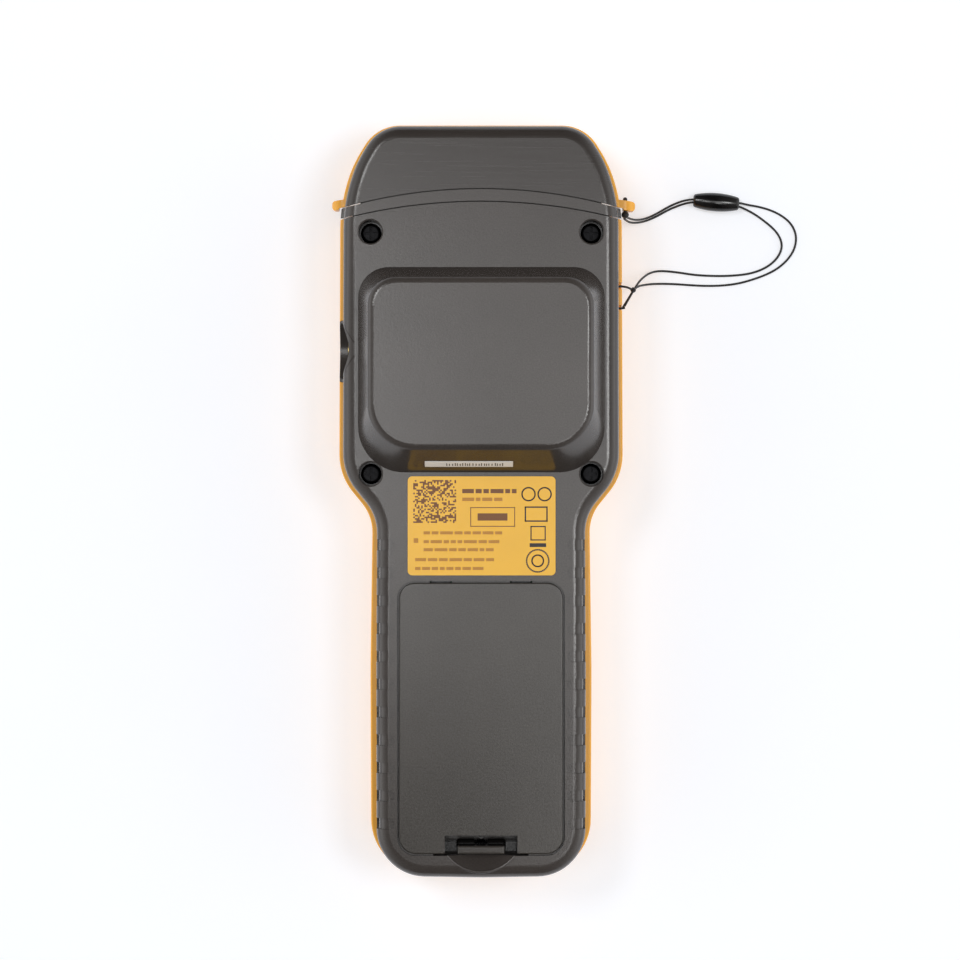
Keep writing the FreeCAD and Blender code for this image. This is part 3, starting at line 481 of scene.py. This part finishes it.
CORD_RADIUS = 0.3 * MM
STRAND_OUTER = [
    (38.8, 75.95, 12.75), (39.9, 75.7, 9.8), (41.6, 75.6, 6.6), (43.6, 76.0, 3.5),
    (45.7, 76.8, 1.3), (48.0, 78.0, 0.4), (50.5, 79.5, 0.4), (52.9, 80.6, 0.9),
    (55.1, 81.3, 1.8), (57.6, 81.6, 2.35), (61.6, 81.25, 2.65), (65.6, 80.95, 2.65),
    (69.6, 80.65, 2.35), (72.3, 80.1, 1.4), (75.3, 79.7, 0.4), (78.5, 78.8, 0.35),
    (81.4, 77.4, 0.35), (83.9, 75.4, 0.35), (85.3, 72.8, 0.35), (85.5, 70.2, 0.35),
    (84.7, 67.5, 0.35), (82.9, 65.0, 0.35), (80.3, 62.8, 0.35), (77.2, 61.2, 0.35),
    (73.6, 59.9, 0.35), (69.6, 58.8, 0.35), (65.4, 58.3, 0.35), (61.2, 58.2, 0.35),
    (57.0, 58.4, 0.35), (53.0, 58.7, 0.35), (49.4, 58.8, 0.5), (46.5, 58.7, 1.4),
    (44.0, 58.3, 3.6), (42.1, 57.7, 7.0), (40.8, 56.4, 10.6), (39.5, 54.2, 13.2),
    (37.9, 51.7, 15.0)]
STRAND_INNER = [
    (38.3, 75.5, 12.9), (39.3, 74.9, 9.9), (40.9, 74.8, 6.7), (43.1, 75.2, 3.6),
    (45.4, 76.0, 1.3), (47.9, 77.2, 0.4), (50.5, 78.7, 0.4), (53.1, 79.8, 0.9),
    (55.4, 80.5, 1.8), (57.6, 80.85, 2.35), (61.6, 80.5, 2.65), (65.6, 80.2, 2.65),
    (69.4, 79.8, 2.25), (72.0, 78.8, 1.2), (74.5, 77.5, 0.4), (77.0, 75.7, 0.35),
    (79.5, 73.6, 0.35), (81.1, 71.4, 0.35), (81.7, 69.1, 0.35), (81.0, 66.7, 0.35),
    (79.1, 64.4, 0.35), (76.4, 62.7, 0.35), (73.2, 61.6, 0.35), (69.6, 61.1, 0.35),
    (65.8, 60.9, 0.35), (61.8, 60.95, 0.35), (57.8, 61.2, 0.35), (54.0, 61.8, 0.35),
    (50.6, 62.2, 0.5), (47.8, 62.2, 1.5), (45.5, 61.5, 3.9), (43.6, 60.1, 7.4),
    (42.0, 58.3, 10.8), (40.7, 56.1, 13.4), (39.5, 54.1, 15.0), (38.3, 52.0, 15.9)]


def tether_strand(name, points, node):
    """One strand: it leaves the cap's knot, passes the bead and ends in the body's notch."""
    path = route_points(name, points)
    strand = new_object(name, tube_mesh(name, path, CORD_RADIUS), MATERIALS["cord"])
    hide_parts(node)
    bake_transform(strand)


tether_strand("tether_outer", STRAND_OUTER, "tether_outer_strand")
tether_strand("tether_inner", STRAND_INNER, "tether_inner_strand")


# Print on the label, the strip and the display side --------------------------------

LABEL_FACE_Z = 33.95
INK_LIFT = 0.012


def ink_patches(name, rectangles, material, z, body="body", place=None):
    """Flat printed patches, as (x low, x high, y low, y high), at a level or on another plane."""
    work = bmesh.new()
    for x_low, x_high, y_low, y_high in rectangles:
        corners = [work.verts.new(mm(x, y, z)) for x, y in
                   ((x_low, y_low), (x_high, y_low), (x_high, y_high), (x_low, y_high))]
        work.faces.new(corners)
    mesh = bpy.data.meshes.new(name)
    work.to_mesh(mesh)
    work.free()
    if place:
        mesh.transform(place)
    return new_object(name, mesh, material, body=body)


def frame_lines(x_low, x_high, y_low, y_high, width):
    """The four sides of a printed rectangle."""
    return [(x_low, x_high, y_low, y_low + width), (x_low, x_high, y_high - width, y_high),
            (x_low, x_low + width, y_low, y_high), (x_high - width, x_high, y_low, y_high)]


def print_bars(x_low, x_high, y, height, rng):
    """A line of plain bars where a real label has words."""
    bars = []
    x = x_low
    while x < x_high - 1.0:
        width = min(rng.uniform(1.2, 3.4), x_high - x)
        bars.append((x, x + width, y, y + height))
        x += width + 0.45
    return bars


def dot_block(x_low, y_low, size, count, rng):
    """A square of scattered dots that encodes nothing."""
    cell = size / count
    patches = []
    for row in range(count):
        for column in range(count):
            if rng.random() < 0.48:
                x, y = x_low + column * cell, y_low + row * cell
                patches.append((x, x + cell, y, y + cell))
    return patches


def ring_patches(x, y, radius, width, steps=40):
    """A printed ring, as short patches round a circle."""
    patches = []
    for k in range(steps):
        angle = 2 * math.pi * k / steps
        cx, cy = x + radius * math.cos(angle), y + radius * math.sin(angle)
        patches.append((cx - width / 2, cx + width / 2, cy - width / 2, cy + width / 2))
    return patches


def label_print():
    rng = random.Random(4)
    z = LABEL_FACE_Z + INK_LIFT
    brown = ink("label_ink", srgb(112, 70, 30))
    pale = ink("label_pale_ink", srgb(176, 122, 38))
    black = ink("label_black_ink", srgb(34, 30, 26))
    ink_patches("label_dots", dot_block(-17.7, -5.6, 11.2, 27, rng), brown, z)
    ink_patches("label_heading", print_bars(-4.9, 9.6, 2.15, 1.1, rng), brown, z)
    lines = print_bars(-4.9, 5.6, 0.1, 0.9, rng)
    for x_low, x_high, y in ((-15.0, 5.6, -8.6), (-15.0, 5.6, -10.9), (-15.0, 3.8, -13.0),
                             (-17.2, 4.6, -15.6), (-17.2, 0.8, -17.9)):
        lines += print_bars(x_low, x_high, y, 0.8, rng)
    lines += [(-17.6, -16.4, -10.8, -9.6)]
    ink_patches("label_lines", lines, pale, z)
    box = frame_lines(-2.8, 8.9, -6.6, -1.5, 0.22) + [(-0.9, 6.9, -5.0, -3.1)]
    ink_patches("label_box", box, brown, z)
    marks = ring_patches(12.4, 1.9, 1.7, 0.36) + ring_patches(16.6, 1.9, 1.7, 0.36)
    marks += frame_lines(11.4, 17.4, -5.3, -1.3, 0.36)
    marks += frame_lines(12.9, 16.9, -10.2, -6.4, 0.3) + [(12.7, 17.0, -11.9, -10.9)]
    marks += ring_patches(14.8, -15.5, 2.9, 0.4) + ring_patches(14.8, -15.5, 1.5, 0.36)
    ink_patches("label_marks", marks, black, z)


BACK_Z = 34.0
HOUSING_FOOT_Y = 7.6
HOUSING_WALL = (12.0, 6.2)
STRIP_FOOT_Z = 37.0
STRIP_LIFT = 0.165


def strip_print():
    """A plain row of ticks along the white strip on the housing's sloping wall."""
    rng = random.Random(9)
    rise, run = HOUSING_WALL
    black = ink("strip_ink", srgb(52, 50, 50))
    ticks = []
    x = -9.0
    while x < 5.6:
        ticks.append((x, x + 0.24, 0.6, 0.6 + rng.uniform(1.1, 1.6)))
        x += rng.uniform(0.5, 0.9)
    along = (STRIP_FOOT_Z - BACK_Z) / rise
    foot = mm(0, HOUSING_FOOT_Y + along * run, STRIP_FOOT_Z)
    out = Vector((0, -rise, run)).normalized() * STRIP_LIFT * MM
    turn = Matrix.Rotation(math.atan2(rise, run), 4, "X")
    ink_patches("strip_ticks", ticks, black, 0.0,
                place=Matrix.Translation(foot + out) @ turn)


SEGMENTS = {"top": (0.2, 1.0, 1.8, 2.0), "middle": (0.2, 1.0, 0.9, 1.1), "foot": (0.2, 1.0, 0.0, 0.2),
            "upper_left": (0.0, 0.2, 1.1, 1.8), "upper_right": (1.0, 1.2, 1.1, 1.8),
            "lower_left": (0.0, 0.2, 0.2, 0.9), "lower_right": (1.0, 1.2, 0.2, 0.9)}


DISPLAY_FACE_Z = 3.8
KEY_FACE_Z = 0.35


def display_print():
    """Idle digits and a scale on the display, and plain marks on the keys; all seen from below."""
    dark = ink("display_ink", srgb(40, 46, 42))
    grey = ink("key_ink", srgb(60, 60, 62))
    size = 5.2
    low_x, low_y, step = -11.5, 40.5, 8.0
    patches = []
    for place in range(3):
        x = low_x + place * step
        patches += [(x + size * a, x + size * b, low_y + size * c, low_y + size * d)
                    for a, b, c, d in SEGMENTS.values()]
    patches += [(-14.0 + k * 1.4, -13.2 + k * 1.4, 34.5, 34.9 + 0.12 * k) for k in range(20)]
    ink_patches("display_digits", patches, dark, DISPLAY_FACE_Z - INK_LIFT)
    face = KEY_FACE_Z - INK_LIFT
    power = ring_patches(-13.5, -20.0, 1.6, 0.3) + [(-13.7, -13.3, -20.0, -17.9)]
    menu = [(12.0, 15.0, -20.2 + dy, -19.8 + dy) for dy in (-1.1, 0.0, 1.1)]
    ok_ring = ring_patches(0.0, -2.0, 1.7, 0.3)
    for key, marks in (("key_power", power), ("key_menu", menu), ("key_ok", ok_ring)):
        ink_patches(key + "_mark", marks, grey, face, body=key)
    for key, x, y, dx, dy in (("key_up", 0.0, 7.6, 0, 1), ("key_down", 0.0, -11.6, 0, -1),
                              ("key_left", -9.6, -2.0, -1, 0), ("key_right", 9.6, -2.0, 1, 0)):
        arrow = []
        for k in range(6):
            half, at = 1.2 - 0.2 * k, -0.6 + 0.2 * k
            across, along = (half, 0.1) if dy else (0.1, half)
            cx, cy = x + dx * at, y + dy * at
            arrow.append((cx - across, cx + across, cy - along, cy + along))
        ink_patches(key + "_mark", arrow, grey, face, body=key)


label_print()
strip_print()
display_print()


# Camera, floor and light ---------------------------------------------------------

# Strengths of the surroundings, which rise with the 2nd and the 8th power of a direction's X.
SIDE_LIGHT = 1.25
EDGE_LIGHT = 0.75
FLOOR_HALF = 1.5
FLOOR_GLOW = 0.42
# The part of the table that the meter's head covers gives no light of its own: a painted shadow under
# the head.
HEAD_HALF_X = 37.6 * MM
HEAD_MIDDLE_Y = 51.0 * MM
HEAD_HALF_Y = 29.0 * MM
PANEL_HEIGHT = 1.3
PANEL_LENGTH = 0.35
# Panels over the table: name, X and Y of the middle (m), width (m), power (W).
PANELS = (
    ("panel_left_far", -0.5, 0.4, 0.3, 4.0),
    ("panel_left_near", -0.2, 0.05, 0.2, 1.45),
    ("panel_middle", 0.0, 0.05, 0.2, 0.4),
    ("panel_right_near", 0.2, 0.05, 0.2, 0.65),
    ("panel_right_low", 0.2, -0.3, 0.2, 1.1),
    ("panel_right_far", 0.5, 0.05, 0.3, 4.0),
)


def camera():
    """A camera that looks straight down; an unturned one does."""
    lens = bpy.data.cameras.new("camera")
    lens.lens = 124.4
    lens.sensor_width = 36.0
    lens.clip_start = 0.01
    view = bpy.data.objects.new("camera", lens)
    bpy.context.scene.collection.objects.link(view)
    view.location = mm(-0.27, 5.6, 900.0)
    bpy.context.scene.camera = view


def floor():
    """A white table top that glows a little, as an overexposed background does."""
    mesh = bpy.data.meshes.new("floor")
    corners = [(x * FLOOR_HALF, y * FLOOR_HALF, 0) for x, y in ((-1, -1), (1, -1), (1, 1), (-1, 1))]
    mesh.from_pydata(corners, [], [(0, 1, 2, 3)])
    n = Nodes("floor_paper")
    n.colour(n.mix(n.noise(40.0), srgb(211, 215, 223), srgb(213, 217, 225)))
    n.set(Roughness=0.9, Specular_IOR_Level=0.2, Emission_Strength=FLOOR_GLOW)
    place = n.axes(n.position)
    across = n.combine("LESS_THAN", n.distance(place["X"], 0.0), HEAD_HALF_X)
    along = n.combine("LESS_THAN", n.distance(place["Y"], HEAD_MIDDLE_Y), HEAD_HALF_Y)
    # Painted shadow: the floor's glow is turned off under the head's footprint.
    painted_shadow_under_head = n.combine("MULTIPLY", across, along)
    n.link(n.mix(painted_shadow_under_head, WHITE, srgb(0, 0, 0)), n.shader.inputs["Emission Color"])
    plane = bpy.data.objects.new("floor", mesh)
    bpy.context.scene.collection.objects.link(plane)
    mesh.materials.append(n.material)


def panel(name, x, y, width, power):
    """A soft box over the table that shines straight down."""
    light = bpy.data.lights.new(name, "AREA")
    light.shape = "RECTANGLE"
    light.size = width
    light.size_y = PANEL_LENGTH
    light.energy = power
    lamp = bpy.data.objects.new(name, light)
    bpy.context.scene.collection.objects.link(lamp)
    lamp.location = (x, y, PANEL_HEIGHT)


def studio():
    """Surroundings that are brightest to the left and right, as between two soft boxes."""
    world = bpy.data.worlds.new("studio")
    world.use_nodes = True
    n = Tree(world.node_tree)
    across = n.axes(n.add("ShaderNodeTexCoord").outputs["Generated"])["X"]
    square = n.combine("MULTIPLY", across, across)
    sides = n.combine("MULTIPLY", square, SIDE_LIGHT)
    edges = n.combine("MULTIPLY", n.combine("POWER", square, 4.0), EDGE_LIGHT)
    background = n.tree.nodes["Background"]
    background.inputs["Color"].default_value = WHITE
    n.link(n.combine("ADD", sides, edges), background.inputs["Strength"])
    bpy.context.scene.world = world


def lights():
    studio()
    for settings in PANELS:
        panel(*settings)


camera()
floor()
lights()
bpy.context.scene.view_settings.view_transform = "Standard"
